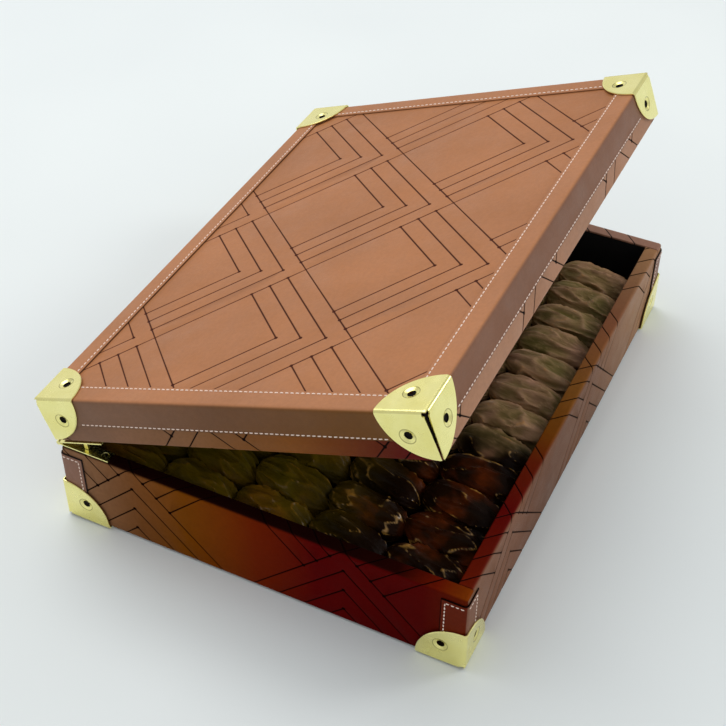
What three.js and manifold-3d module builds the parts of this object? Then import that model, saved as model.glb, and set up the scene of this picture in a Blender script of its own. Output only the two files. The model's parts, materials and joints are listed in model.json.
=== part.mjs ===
// A leather-covered presentation box for dates, with a stay-hinged lid standing ajar.
// Millimetres, +Z up. The origin is the centre of the underside, +X runs along the hinge,
// and the lid opens at the front, which faces -Y.
import * as THREE from "three";
import { mergeVertices } from "three/addons/utils/BufferGeometryUtils.js";
import Module from "manifold-3d";

// Driving dimensions.
const LENGTH = 350;
const WIDTH = 260;
const BASE_HEIGHT = 58;
const LID_DEPTH = 32;
const WALL = 9; // leather, board and lining together
const CLOSED_GAP = 2.5; // between the rims of the closed box, filled by the hinge plates
const LID_ANGLE = 21; // how far the lid stands open here, degrees
const LID_TRAVEL = 95; // how far it opens, degrees
const CLEARANCE = 0.3; // between pieces that touch or slide

// Sheet and board thicknesses.
const LEATHER = 1.2;
const EDGING = 0.8;
const LINING = 0.9;
const BOARD = WALL - LEATHER - LINING - 2 * CLEARANCE;
const FLOOR_BOARD = 5;
const TOP_BOARD = 4;
const CARD = 1;
const SHEET_BRASS = 0.9;

// Trim.
const EDGING_TOP = 14.5; // width of the edging strip on top of the lid
const EDGING_SIDE = 19; // and down its sides
const CORNER_RADIUS = 29.5; // each leaf of a brass corner is a quarter disc
const CORNER_HOLE = 14.5; // nail hole, from both edges of its leaf
const CORNER_HOLE_RADIUS = 2;
const SEAM = 0.4; // half the open seam between two leaves
const PATCH_WIDTH = 16;
const PATCH_DROP = 4.5; // from the rim down to a corner patch
const PATCH = 0.8;
const COVER_INSET = 5;

// Hinges.
const AXIS_SETBACK = 1.9; // hinge axis behind the back wall
const PLATE_LENGTH = 34.5;
const PLATE_WIDTH = 7.4;
const PLATE = (CLOSED_GAP - 3 * CLEARANCE) / 2;
const KNUCKLE_RADIUS = 1.5;
const PIN_RADIUS = 0.6;
const PIN_PLAY = 0.15;
const KNUCKLE = 2.2; // width of the lid's knuckle, in the middle of the plate
const STAY_RADIUS = 18; // middle of the curved stay, round the hinge axis
const STAY_WIDTH = 2.6;
const STAY_THICKNESS = 1.4;
const STAY_LUG = 0.9; // how far each end lug stands out, both ways
const LUG_ANGLE = 4; // degrees of arc that a lug takes up
const STAY_SPARE = 5.5; // degrees of stay beyond what full travel draws out, at each end
const STAY_HALF_ANGLE = LID_TRAVEL / 2 + STAY_SPARE + LUG_ANGLE;
const POCKET_SPARE = 2; // degrees of room beyond the stay's end in a wall
const POCKET_MOUTH = 4; // degrees past the rims that the pocket is cut
const PLATE_SLOT_ANGLE = 12; // half the arc cut through a hinge plate
const SCREW_FROM_END = 4;
const SCREW_HEAD_RADIUS = 2.1;
const SCREW_RADIUS = 1;
const SCREW_LENGTH = 8;

// Dates.
const DATE_COLUMNS = 5;
const DATE_ROWS = 12;
const DATE_LENGTH = 47.6;
const DATE_PITCH = 26; // along X, from one date to the next in a column
const DATE_WIDTH = 26.4;
const DATE_HEIGHT = 23.4;
const CARD_TOP = 28; // the raised card that the dates lie on
const DATE_FULLNESS = 2.4; // 2 is an ellipse, more is blunter

// How finely round shapes are cut into flat ones.
const BARREL_SIDES = 12;
const SCREW_SIDES = 10;
const DATE_SIDES = 8;
const DATE_RINGS = 4; // an even number, so that the widest ring is there to touch the next date
const NOTCH_SIDES = 40;
const ARC_STEPS = 14;
const LEAF_STEPS = 9;
const HOLE_STEPS = 5;

// Worked out from the above.
const RIM = BASE_HEIGHT;
const LID_RIM = BASE_HEIGHT + CLOSED_GAP;
const LID_TOP = LID_RIM + LID_DEPTH;
const AXIS_Y = WIDTH / 2 + AXIS_SETBACK;
const AXIS_Z = BASE_HEIGHT + CLOSED_GAP / 2;
const HALF_X = LENGTH / 2;
const HALF_Y = WIDTH / 2;
const LID_INSET = EDGING + CLEARANCE; // the lid's leather lies under its edging
const UNDERSIDE = LEATHER + CLEARANCE; // the boards start above the bottom cover
const HINGE_X = HALF_X - LEATHER - CLEARANCE - BOARD / 2;
const SLOT = STAY_THICKNESS + 2 * CLEARANCE;
const DEG = Math.PI / 180;

const wasm = await Module();
wasm.setup();

const FINISHES = {
  tan: { color: 0xb07a57, roughness: 0.5, metalness: 0 },
  brown: { color: 0x70503f, roughness: 0.5, metalness: 0 },
  brass: { color: 0xdccf82, roughness: 0.22, metalness: 1 },
  board: { color: 0x9a7f60, roughness: 0.9, metalness: 0 },
  black: { color: 0x12100f, roughness: 0.9, metalness: 0 },
  date: { color: 0x3a1c12, roughness: 0.3, metalness: 0 },
};

function mesh(name, geometry, finish) {
  const made = new THREE.Mesh(geometry, new THREE.MeshStandardMaterial(FINISHES[finish]));
  made.name = name;
  return made;
}

// A box between two corners, as a geometry.
function block([x0, x1], [y0, y1], [z0, z1]) {
  const made = new THREE.BoxGeometry(x1 - x0, y1 - y0, z1 - z0);
  return made.translate((x0 + x1) / 2, (y0 + y1) / 2, (z0 + z1) / 2);
}

function solid(geometry) {
  const bare = geometry.clone();
  bare.deleteAttribute("normal");
  bare.deleteAttribute("uv");
  const merged = mergeVertices(bare, 1e-4);
  const vertProperties = new Float32Array(merged.attributes.position.array);
  const triVerts = new Uint32Array(merged.index.array);
  return new wasm.Manifold(new wasm.Mesh({ numProp: 3, vertProperties, triVerts }));
}

function geometryOf(made) {
  const { vertProperties, triVerts } = made.getMesh();
  const geometry = new THREE.BufferGeometry();
  geometry.setAttribute("position", new THREE.BufferAttribute(vertProperties, 3));
  geometry.setIndex(new THREE.BufferAttribute(triVerts, 1));
  geometry.computeVertexNormals();
  return geometry;
}

function join(geometries) {
  return geometries.map(solid).reduce((whole, next) => whole.add(next));
}

function cut(whole, cutters) {
  return cutters.map(solid).reduce((left, next) => left.subtract(next), whole);
}

const across = (half) => [-half, half];
const between = (a, b) => [Math.min(a, b), Math.max(a, b)];
// The stretch from one distance to another on the side that sign gives.
const outwards = (sign, from, to) => (sign > 0 ? [from, to] : [-to, -from]);
const nameOf = { x: { "-1": "left", 1: "right" }, y: { "-1": "front", 1: "back" } };

// ---- Hinge shapes, round an axis along X at the origin. Angle 0 points to -Y, 90 to +Z.

function arcPoints(radius, from, to, steps) {
  return Array.from({ length: steps + 1 }, (_, i) => {
    const angle = (from + ((to - from) * i) / steps) * DEG;
    return new THREE.Vector2(radius * Math.cos(angle), radius * Math.sin(angle));
  });
}

function hingeSlice(points, thickness) {
  const made = new THREE.ExtrudeGeometry(new THREE.Shape(points), {
    depth: thickness,
    bevelEnabled: false,
  });
  made.translate(0, 0, -thickness / 2);
  const back = new THREE.Vector3(0, -1, 0);
  const up = new THREE.Vector3(0, 0, 1);
  return made.applyMatrix4(new THREE.Matrix4().makeBasis(back, up, new THREE.Vector3(-1, 0, 0)));
}

function arcBand(halfWidth, from, to, thickness) {
  const outer = arcPoints(STAY_RADIUS + halfWidth, from, to, ARC_STEPS);
  const inner = arcPoints(STAY_RADIUS - halfWidth, to, from, ARC_STEPS);
  return hingeSlice([...outer, ...inner], thickness);
}

function stayGeometry() {
  const end = STAY_HALF_ANGLE;
  const neck = end - LUG_ANGLE;
  const half = STAY_WIDTH / 2;
  const wide = half + STAY_LUG;
  const edge = (sign, direction) => [
    ...arcPoints(STAY_RADIUS + sign * wide, -end * direction, -neck * direction, 1),
    ...arcPoints(STAY_RADIUS + sign * half, -neck * direction, neck * direction, ARC_STEPS),
    ...arcPoints(STAY_RADIUS + sign * wide, neck * direction, end * direction, 1),
  ];
  return hingeSlice([...edge(1, 1), ...edge(-1, -1)], STAY_THICKNESS);
}

function barrel(radius, x0, x1, y, z) {
  const made = new THREE.CylinderGeometry(radius, radius, x1 - x0, BARREL_SIDES);
  return made.rotateZ(Math.PI / 2).translate((x0 + x1) / 2, y, z);
}

// The room a stay needs in the wall of its own side: an arc pocket, below the rim or above it.
function stayPocket(side, up) {
  const halfWidth = STAY_WIDTH / 2 + STAY_LUG + CLEARANCE;
  const deepest = STAY_HALF_ANGLE + POCKET_SPARE;
  const [from, to] = up ? [-POCKET_MOUTH, deepest] : [-deepest, POCKET_MOUTH];
  const made = arcBand(halfWidth, from, to, SLOT);
  return made.translate(side * HINGE_X, AXIS_Y, AXIS_Z);
}

const screwY = AXIS_Y - PLATE_LENGTH + SCREW_FROM_END;

// A countersunk screw with its head flush in a hinge plate; up drives it into the lid.
function screwGeometry(side, up, extra = 0) {
  const head = PLATE + extra;
  const profile = [
    [0, extra],
    [SCREW_HEAD_RADIUS + extra, extra],
    [SCREW_HEAD_RADIUS + extra, 0],
    [SCREW_RADIUS + extra, -head],
    [SCREW_RADIUS + extra, -SCREW_LENGTH - extra],
    [0, -SCREW_LENGTH - extra],
  ].map(([r, h]) => new THREE.Vector2(r, h));
  const upright = profile.filter((p, i) => i === 0 || !p.equals(profile[i - 1])).reverse();
  const made = new THREE.LatheGeometry(upright, SCREW_SIDES).rotateX(Math.PI / 2);
  if (up) made.rotateX(Math.PI);
  const flush = up ? LID_RIM - CLEARANCE - PLATE : RIM + CLEARANCE + PLATE;
  return made.translate(side * HINGE_X, screwY, flush);
}

function hingePlate(side, up) {
  const z0 = up ? LID_RIM - CLEARANCE - PLATE : RIM + CLEARANCE;
  const reach = [AXIS_Y - PLATE_LENGTH, AXIS_Y];
  const left = side * HINGE_X - PLATE_WIDTH / 2;
  const right = left + PLATE_WIDTH;
  const middle = [side * HINGE_X - KNUCKLE / 2, side * HINGE_X + KNUCKLE / 2];
  const outer = [
    [left, middle[0] - CLEARANCE],
    [middle[1] + CLEARANCE, right],
  ];
  const mine = up ? [middle] : outer;
  const theirs = up
    ? outer.map(([a, b]) => [a - CLEARANCE, b + CLEARANCE])
    : [[middle[0] - CLEARANCE, middle[1] + CLEARANCE]];
  let plate = solid(block([left, right], reach, [z0, z0 + PLATE]));
  plate = cut(
    plate,
    theirs.map(([a, b]) => barrel(KNUCKLE_RADIUS + CLEARANCE, a, b, AXIS_Y, AXIS_Z)),
  );
  for (const [a, b] of mine) plate = plate.add(solid(barrel(KNUCKLE_RADIUS, a, b, AXIS_Y, AXIS_Z)));
  const slot = arcBand(STAY_WIDTH / 2 + CLEARANCE, -PLATE_SLOT_ANGLE, PLATE_SLOT_ANGLE, SLOT);
  return geometryOf(
    cut(plate, [
      barrel(PIN_RADIUS + PIN_PLAY, left - 1, right + 1, AXIS_Y, AXIS_Z),
      slot.translate(side * HINGE_X, AXIS_Y, AXIS_Z),
      screwGeometry(side, up, CLEARANCE),
    ]),
  );
}

// ---- Brass corner: three quarter-disc leaves over a box corner at the origin.
// The box lies towards +X, +Y and +Z. The two edges at the Z leaf are folded,
// and the edge along Z is an open seam.

function leafShape(start) {
  const points = [new THREE.Vector2(start, start)];
  for (let i = 0; i <= LEAF_STEPS; i += 1) {
    const angle = (i / LEAF_STEPS) * (Math.PI / 2);
    const x = CORNER_RADIUS * Math.cos(angle);
    const y = CORNER_RADIUS * Math.sin(angle);
    if (i === 0) points.push(new THREE.Vector2(x, start));
    points.push(new THREE.Vector2(Math.max(x, 0), Math.max(y, 0)));
    if (i === LEAF_STEPS) points.push(new THREE.Vector2(start, y));
  }
  const shape = new THREE.Shape(points);
  const hole = new THREE.Path();
  hole.absarc(CORNER_HOLE, CORNER_HOLE, CORNER_HOLE_RADIUS, 0, Math.PI * 2, true);
  shape.holes.push(hole);
  return shape;
}

function leaf(start) {
  return new THREE.ExtrudeGeometry(leafShape(start), {
    depth: SHEET_BRASS,
    bevelEnabled: false,
    curveSegments: HOLE_STEPS,
  }).translate(0, 0, -SHEET_BRASS);
}

function brassCorner() {
  const seam = [-2 * SHEET_BRASS, SEAM];
  const seamCut = block(seam, seam, [0, 2 * CORNER_RADIUS]);
  const top = leaf(-SHEET_BRASS);
  const towardsX = leaf(-SHEET_BRASS).rotateZ(Math.PI / 2).rotateY(Math.PI / 2);
  const towardsY = leaf(-SHEET_BRASS).rotateZ(-Math.PI / 2).rotateX(-Math.PI / 2);
  return cut(join([top, towardsX, towardsY]), [seamCut]);
}

// Turns the corner so that its X, Y and Z run into the box from a corner point.
function cornerAt(inX, inY, inZ, point) {
  const turn = new THREE.Matrix4().makeBasis(inX, inY, inZ).setPosition(point);
  return geometryOf(brassCorner().transform(turn.elements));
}

// ---- Walls. The left and right pieces run the full depth of the box, and the front and back
// ones fit between them.

// A strip of leather along a wall: its outer face from the edge that it's folded over to its far
// edge, and the flange that reaches inwards over the fold.
function wallSkin(axis, side, half, reach, rim, far, thickness = LEATHER) {
  const under = rim + Math.sign(far - rim) * thickness;
  const flange = between(rim, under);
  if (axis === "x") {
    return join([
      block(outwards(side, half.x - thickness, half.x), across(half.y), between(rim, far)),
      block(outwards(side, half.x - reach, half.x), across(half.y), flange),
    ]);
  }
  const turned = half.x - reach - CLEARANCE;
  const outer = outwards(side, half.y - thickness, half.y);
  const shoulder = under + Math.sign(far - rim) * CLEARANCE;
  return join([
    block(across(half.x - thickness - CLEARANCE), outer, between(shoulder, far)),
    block(across(turned), outer, between(rim, far)),
    block(across(turned), outwards(side, half.y - reach, half.y), flange),
  ]);
}

// What the hinge needs cut from a left or right wall.
function hingeRoom(side, up) {
  return [stayPocket(side, up), screwGeometry(side, up, CLEARANCE)];
}

// ---- Base.

function baseSkin(axis, side) {
  const skin = wallSkin(axis, side, { x: HALF_X, y: HALF_Y }, WALL, RIM, UNDERSIDE);
  return geometryOf(axis === "x" ? cut(skin, hingeRoom(side, false)) : skin);
}

function baseBoard(axis, side) {
  const inset = LEATHER + CLEARANCE;
  const tall = [UNDERSIDE + FLOOR_BOARD + CLEARANCE, RIM - inset];
  if (axis === "x") {
    const board = block(
      outwards(side, HALF_X - inset - BOARD, HALF_X - inset),
      across(HALF_Y - inset),
      tall,
    );
    return geometryOf(cut(solid(board), hingeRoom(side, false)));
  }
  return block(
    across(HALF_X - inset - BOARD - CLEARANCE),
    outwards(side, HALF_Y - inset - BOARD, HALF_Y - inset),
    tall,
  );
}

function openTray([halfX, halfY], thickness, [z0, z1], openUp) {
  const inner = openUp ? [z0 + thickness, z1 + 1] : [z0 - 1, z1 - thickness];
  return geometryOf(
    cut(solid(block(across(halfX), across(halfY), [z0, z1])), [
      block(across(halfX - thickness), across(halfY - thickness), inner),
    ]),
  );
}

function bottomCover() {
  const plate = block(across(HALF_X - COVER_INSET), across(HALF_Y - COVER_INSET), [0, LEATHER]);
  const notches = [];
  for (const sx of [-1, 1]) {
    for (const sy of [-1, 1]) {
      const radius = CORNER_RADIUS + 1;
      const disc = new THREE.CylinderGeometry(radius, radius, 4 * LEATHER, NOTCH_SIDES);
      notches.push(disc.rotateX(Math.PI / 2).translate(sx * HALF_X, sy * HALF_Y, 0));
    }
  }
  return geometryOf(cut(solid(plate), notches));
}

function raisedCard() {
  const halfX = HALF_X - WALL - CLEARANCE;
  const halfY = HALF_Y - WALL - CLEARANCE;
  const floor = UNDERSIDE + FLOOR_BOARD + 2 * CLEARANCE + LINING;
  return geometryOf(
    cut(solid(block(across(halfX), across(halfY), [floor, CARD_TOP])), [
      block(across(halfX + 1), across(halfY - CARD), [0, CARD_TOP - CARD]),
    ]),
  );
}

function cornerPatch(sx, sy) {
  const start = CLEARANCE;
  const outline = [
    [start, start],
    [start, -PATCH_WIDTH],
    [start + PATCH, -PATCH_WIDTH],
    [start + PATCH, start + PATCH],
    [-PATCH_WIDTH, start + PATCH],
    [-PATCH_WIDTH, start],
  ].map(([x, y]) => new THREE.Vector2(x, y));
  const bent = new THREE.ExtrudeGeometry(new THREE.Shape(outline), {
    depth: RIM - PATCH_DROP - UNDERSIDE,
    bevelEnabled: false,
  });
  const turn = new THREE.Matrix4().makeScale(sx, sy, 1);
  turn.setPosition(sx * HALF_X, sy * HALF_Y, UNDERSIDE);
  return geometryOf(solid(bent).transform(turn.elements));
}

// One column of dates, lying side by side and just touching.
function dateColumn() {
  const profile = [];
  for (let i = 0; i <= DATE_RINGS; i += 1) {
    const t = -Math.cos((Math.PI * i) / DATE_RINGS);
    const radius = Math.sqrt(Math.max(0, 1 - Math.abs(t) ** DATE_FULLNESS));
    profile.push(new THREE.Vector2(radius * (DATE_WIDTH / 2), t * (DATE_LENGTH / 2)));
  }
  const row = [];
  for (let i = 0; i < DATE_ROWS; i += 1) {
    const date = new THREE.LatheGeometry(profile, DATE_SIDES).scale(1, 1, DATE_HEIGHT / DATE_WIDTH);
    row.push(date.translate(DATE_PITCH * (i + 0.5), 0, 0));
  }
  return geometryOf(join(row));
}

function buildBase() {
  const base = new THREE.Group();
  const inset = LEATHER + CLEARANCE;
  const floorTop = UNDERSIDE + FLOOR_BOARD;
  const cavity = [HALF_X - WALL + LINING, HALF_Y - WALL + LINING];
  base.add(mesh("base_bottom_cover", bottomCover(), "brown"));
  const floor = new THREE.BoxGeometry(LENGTH - 2 * inset, WIDTH - 2 * inset, FLOOR_BOARD);
  const floorBoard = mesh("base_floor_board", floor, "board");
  floorBoard.position.z = UNDERSIDE + FLOOR_BOARD / 2;
  base.add(floorBoard);
  const liner = openTray(cavity, LINING, [floorTop + CLEARANCE, RIM - inset], true);
  base.add(mesh("base_lining", liner, "black"));
  base.add(mesh("raised_floor_card", raisedCard(), "black"));
  for (const axis of ["x", "y"]) {
    for (const side of [-1, 1]) {
      const wall = nameOf[axis][side];
      base.add(mesh(`base_${wall}_board`, baseBoard(axis, side), "board"));
      base.add(mesh(`base_${wall}_leather`, baseSkin(axis, side), "brown"));
    }
  }
  const stand = CLEARANCE + PATCH + CLEARANCE;
  for (const sx of [-1, 1]) {
    for (const sy of [-1, 1]) {
      const corner = `${nameOf.y[sy]}_${nameOf.x[sx]}`;
      base.add(mesh(`base_${corner}_patch`, cornerPatch(sx, sy), "brown"));
      const point = new THREE.Vector3(sx * (HALF_X + stand), sy * (HALF_Y + stand), LEATHER);
      const inward = [
        new THREE.Vector3(0, 0, 1),
        new THREE.Vector3(-sx, 0, 0),
        new THREE.Vector3(0, -sy, 0),
      ];
      base.add(mesh(`base_${corner}_brass_corner`, cornerAt(...inward, point), "brass"));
    }
  }
  for (const side of [-1, 1]) {
    const hand = nameOf.x[side];
    base.add(mesh(`base_${hand}_hinge_plate`, hingePlate(side, false), "brass"));
    base.add(mesh(`base_${hand}_hinge_screw`, screwGeometry(side, false), "brass"));
    const pin = new THREE.CylinderGeometry(PIN_RADIUS, PIN_RADIUS, PLATE_WIDTH, BARREL_SIDES);
    const pinMesh = mesh(`${hand}_hinge_pin`, pin.rotateZ(Math.PI / 2), "brass");
    pinMesh.position.set(side * HINGE_X, AXIS_Y, AXIS_Z);
    base.add(pinMesh);
  }
  const columnPitch = (WIDTH - 2 * WALL) / DATE_COLUMNS;
  for (let i = 0; i < DATE_COLUMNS; i += 1) {
    const column = mesh(`date_column_${i + 1}`, dateColumn(), "date");
    column.position.x = -HALF_X + WALL + CLEARANCE;
    column.position.y = -HALF_Y + WALL + columnPitch * (i + 0.5);
    column.position.z = CARD_TOP + CLEARANCE + DATE_HEIGHT / 2;
    base.add(column);
  }
  return base;
}

// ---- Lid, in the place it has when the box is closed.

function lidSkin(axis, side, top) {
  const half = { x: HALF_X - LID_INSET, y: HALF_Y - LID_INSET };
  const skin = wallSkin(axis, side, half, WALL - LID_INSET, LID_RIM, top);
  return geometryOf(axis === "x" ? cut(skin, hingeRoom(side, true)) : skin);
}

function lidBoard(axis, side, tall) {
  const inset = LID_INSET + LEATHER + CLEARANCE;
  const inner = WALL - LINING - CLEARANCE;
  if (axis === "x") {
    const board = block(outwards(side, HALF_X - inner, HALF_X - inset), across(HALF_Y - inset), tall);
    return geometryOf(cut(solid(board), hingeRoom(side, true)));
  }
  return block(
    across(HALF_X - inner - CLEARANCE),
    outwards(side, HALF_Y - inner, HALF_Y - inset),
    tall,
  );
}

function edgingStrip(axis, side) {
  const half = { x: HALF_X, y: HALF_Y };
  const far = LID_TOP - EDGING_SIDE;
  return geometryOf(wallSkin(axis, side, half, EDGING_TOP, LID_TOP, far, EDGING));
}

function buildLid() {
  const lid = new THREE.Group();
  const leatherTop = LID_TOP - EDGING - CLEARANCE;
  const boardTop = leatherTop - LEATHER - CLEARANCE;
  const boardUnder = boardTop - TOP_BOARD;
  const inset = LID_INSET + LEATHER + CLEARANCE;
  const topLeather = block(
    across(HALF_X - LID_INSET),
    across(HALF_Y - LID_INSET),
    [leatherTop - LEATHER, leatherTop],
  );
  lid.add(mesh("lid_top_leather", topLeather, "tan"));
  const topBoard = block(across(HALF_X - inset), across(HALF_Y - inset), [boardUnder, boardTop]);
  lid.add(mesh("lid_top_board", topBoard, "board"));
  const rimTop = LID_RIM + LEATHER + CLEARANCE;
  const cavity = [HALF_X - WALL + LINING, HALF_Y - WALL + LINING];
  const wallTop = boardUnder - CLEARANCE;
  lid.add(mesh("lid_lining", openTray(cavity, LINING, [rimTop, wallTop], false), "black"));
  for (const axis of ["x", "y"]) {
    for (const side of [-1, 1]) {
      const wall = nameOf[axis][side];
      lid.add(mesh(`lid_${wall}_board`, lidBoard(axis, side, [rimTop, wallTop]), "board"));
      lid.add(mesh(`lid_${wall}_leather`, lidSkin(axis, side, boardTop), "brown"));
      lid.add(mesh(`lid_${wall}_edging`, edgingStrip(axis, side), "tan"));
    }
  }
  for (const sx of [-1, 1]) {
    for (const sy of [-1, 1]) {
      const corner = `${nameOf.y[sy]}_${nameOf.x[sx]}`;
      const point = new THREE.Vector3(sx * HALF_X, sy * HALF_Y, LID_TOP);
      point.add(new THREE.Vector3(sx * CLEARANCE, sy * CLEARANCE, CLEARANCE));
      const inward = [
        new THREE.Vector3(-sx, 0, 0),
        new THREE.Vector3(0, -sy, 0),
        new THREE.Vector3(0, 0, -1),
      ];
      lid.add(mesh(`lid_${corner}_brass_corner`, cornerAt(...inward, point), "brass"));
    }
  }
  for (const side of [-1, 1]) {
    const hand = nameOf.x[side];
    lid.add(mesh(`lid_${hand}_hinge_plate`, hingePlate(side, true), "brass"));
    lid.add(mesh(`lid_${hand}_hinge_screw`, screwGeometry(side, true), "brass"));
  }
  return lid;
}

// ---- Assembly: the lid and the stays turn about the hinge axis.

function turnedAbout(axisChild, degrees) {
  const turned = new THREE.Group();
  turned.position.set(0, AXIS_Y, AXIS_Z);
  turned.rotation.x = -degrees * DEG;
  turned.add(axisChild);
  return turned;
}

const box = new THREE.Group();
box.add(buildBase());
const lid = buildLid();
lid.position.set(0, -AXIS_Y, -AXIS_Z);
box.add(turnedAbout(lid, LID_ANGLE));
for (const side of [-1, 1]) {
  const stay = mesh(`${nameOf.x[side]}_stay`, stayGeometry(), "brass");
  stay.position.x = side * HINGE_X;
  box.add(turnedAbout(stay, LID_ANGLE / 2));
}

export default box;
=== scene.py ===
"""The looks of a leather-covered date box whose lid stands ajar on two stay hinges.

Lengths are millimetres until a mesh is made, which is in metres. Lid pieces are made in the
place they have when the box is closed, and then turned about the hinge by the lid's angle.
"""

import json
import math
import random
from collections import namedtuple
from functools import partial

import bpy
import numpy as np
from mathutils import Matrix, Vector, noise
from mathutils.geometry import delaunay_2d_cdt


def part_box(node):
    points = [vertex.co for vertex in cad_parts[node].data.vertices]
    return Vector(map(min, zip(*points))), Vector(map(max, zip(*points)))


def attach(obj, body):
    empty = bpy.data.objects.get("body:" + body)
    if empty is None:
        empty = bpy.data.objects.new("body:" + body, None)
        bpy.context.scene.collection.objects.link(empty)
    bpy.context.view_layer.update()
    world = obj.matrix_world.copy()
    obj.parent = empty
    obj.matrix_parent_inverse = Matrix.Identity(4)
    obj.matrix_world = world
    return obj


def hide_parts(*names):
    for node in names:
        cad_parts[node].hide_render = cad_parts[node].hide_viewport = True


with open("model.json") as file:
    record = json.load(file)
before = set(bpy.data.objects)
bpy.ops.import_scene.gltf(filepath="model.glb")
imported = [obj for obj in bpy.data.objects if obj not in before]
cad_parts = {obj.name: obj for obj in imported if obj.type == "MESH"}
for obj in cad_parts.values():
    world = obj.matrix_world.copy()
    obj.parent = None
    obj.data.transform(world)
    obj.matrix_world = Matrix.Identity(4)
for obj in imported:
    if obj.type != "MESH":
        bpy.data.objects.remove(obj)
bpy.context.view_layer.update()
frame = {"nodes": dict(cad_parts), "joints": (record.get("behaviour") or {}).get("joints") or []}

MM = 0.001

# Camera, measured from the frame's origin.
CAMERA_PLACE = (-612.7, -279.0, 640.8)
CAMERA_YAW = 25.77  # from +X towards +Y, degrees
CAMERA_PITCH = -42.01
CAMERA_ROLL = 0.35
CAMERA_LENS = 68.58  # on a 36 mm sensor

# Sheets.
LEATHER = 1.2
EDGING = 0.8
PATCH = 0.8
GAP = 0.3  # between one sheet and the next
LIP = 0.45  # how wide the rounded edge of a sheet is
LIP_DROP = 0.35
BOX_RADIUS = 2.0  # rounding of the box's own edges
GROOVE_HALF = 0.6
GROOVE_DEPTH = 0.28
DOT_RADIUS = 1.35
DOT_SIDES = 8
SHADE_SIDES = 18  # of the larger spots of painted shade under the brass holes
DOT_CORE = 0.6  # the fully dark share of a dot's or a spot's radius
FLAT_LINE = 1.15  # where a line beyond a rounded edge is, in radii
FAR = 1000.0  # past the object on every side

# The drawn pattern.
PATTERN_PITCH = 97.8  # between parallel main lines
PATTERN_STEP = 11.8  # between nested chevrons
CHEVRONS = 3
NODE_SPACING = PATTERN_PITCH * math.sqrt(2)
NODE_REACH = 6  # rows of nodes on each side of the first one
# One node of the pattern on each sheet, along it and over its fold, or as X and Y on the top.
BASE_NODES = {"x": (82.0, 2.4), "y": (31.0, 2.4)}
LID_NODES = {"x": (15.0, -33.5), "y": (-34.0, -33.5)}
TOP_NODE = (-43.7, 14.5)

# Stitches.
STITCH_PITCH = 3.35
STITCH_LENGTH = 2.35
STITCH_WIDTH = 0.8
STITCH_HEIGHT = 0.3
# Rings of a stitch: where along it, how wide and how lifted, as shares of its sizes.
STITCH_MIDDLE = (0.0, 1.0, 0.45)
STITCH_SHOULDER = (0.32, 0.9, 0.25)
STITCH_END = (0.5, 0.35, -0.35)
STITCH_SIDES = 6
STITCH_TILT = (-0.05, 0.09)  # radians
PATCH_STITCH_PITCH = 2.9
TOP_ROW = 12.3  # from the box's edge to the row on top of the lid
SIDE_ROW = 17.6  # and down to the row on its sides
PATCH_ROW = 13.4  # from the base's corner to the upright row on its patch
PATCH_ROW_LOW = 24.0  # from the ground to that row's low end
PATCH_ROW_TOP = 2.4  # from the patch's top to the row along it
PATCH_ROW_END = 1.8  # from the corner to that row's end

# Corner patches of the base.
PATCH_WIDTH = 16.0  # on each side of the corner
PATCH_LIP = 0.9
PATCH_RADIUS = BOX_RADIUS + 1

# Brass, and the painted shade under its holes and seams.
SHEET_BRASS = 0.9
CORNER_RADIUS = 29.5
FOLD_RADIUS = 1.2
CORNER_HOLE = 14.5
HOLE_SHADE_FROM_EDGE = CORNER_HOLE - GAP
HOLE_RADIUS = 2.4
DIMPLE_RADIUS = 4.5
DIMPLE_DROP = 0.85
DIMPLE_LINE = 0.4  # half the width of the line of painted shade round a dimple
UNDER_DROP = 0.22  # of the dimple on the hidden face
HOLE_SIDES = 28
HOLE_SHADE_RADIUS = 4.6  # of the painted shade under a hole, which fades outwards
# The open edge of a leaf, from its rim to its fold: how far back it is, and where along it.
SEAM = ((0.55, CORNER_RADIUS), (0.8, 12.0), (1.15, 2.6), (2.2, 1.7), (2.2, 0.0))
SEAM_CLEARANCE = 0.2  # from the seam to the next point of the rim
SEAM_SHADE = 4.0  # width of the strip of painted shade, partly dark edge paint, under the seam
SEAM_CORE = 3.0  # and of its fully dark part
ARC_STEPS = 28
BRASS_BEVEL = 0.4
SLOT_FROM_AXIS = (20.5, 15.5)  # the two ends of a stay's slot, forward of the hinge axis
EDGE_PAINT_AND_SHADE = {"left": 0.5, "back": 0.5, "front": 0.2, "right": 0.2}  # how dark the rims of the edging are: edge paint, and a painted shadow of the step, darker on the left and back
LID_ROW_END = CORNER_RADIUS - 3  # from the lid's corner to the end of its rows of stitches

# Dates.
DATE_ROWS = 12
DATE_AROUND = 84
DATE_ALONG = 54
DATE_OVERLAP = 2.0  # how far a date's end reaches past its column
DATE_SQUEEZE = 1.2  # and how far its sides reach into the next dates
DATE_FULLNESS = 3.1  # 2 is an ellipse, more is blunter
DATE_PLUMPNESS = (0.97, 1.03)
DATE_TAPER = (-0.12, 0.04)
DATE_SHIFT = 0.3
DATE_DROP = 0.6
WRINKLES_AROUND = 1.75
WRINKLES_ALONG = 1.0
WRINKLE_BEND = 0.35
CREST_HEIGHT = 0.23  # heights are shares of the date's radius
SMALL_CREST_HEIGHT = 0.07
LUMP_HEIGHT = 0.13
SKIN_DROP = 0.2
NOISE_SPAN = 50  # how far apart in the noise the dates may be
NOISE_SEED = 1  # of the noise vectors, which would differ each time without one
FRONT_YAW = (-8, 4)  # of the dates along the front wall, degrees
OTHER_YAW = (-18, -5)
DATE_LEAN = (3, 7)

# Studio, in metres.
FLOOR_SIZE = 6.0
FLOOR_STEPS = 8
LIT = Vector((0.0, 0.0, 0.08))  # where the lights point

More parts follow.
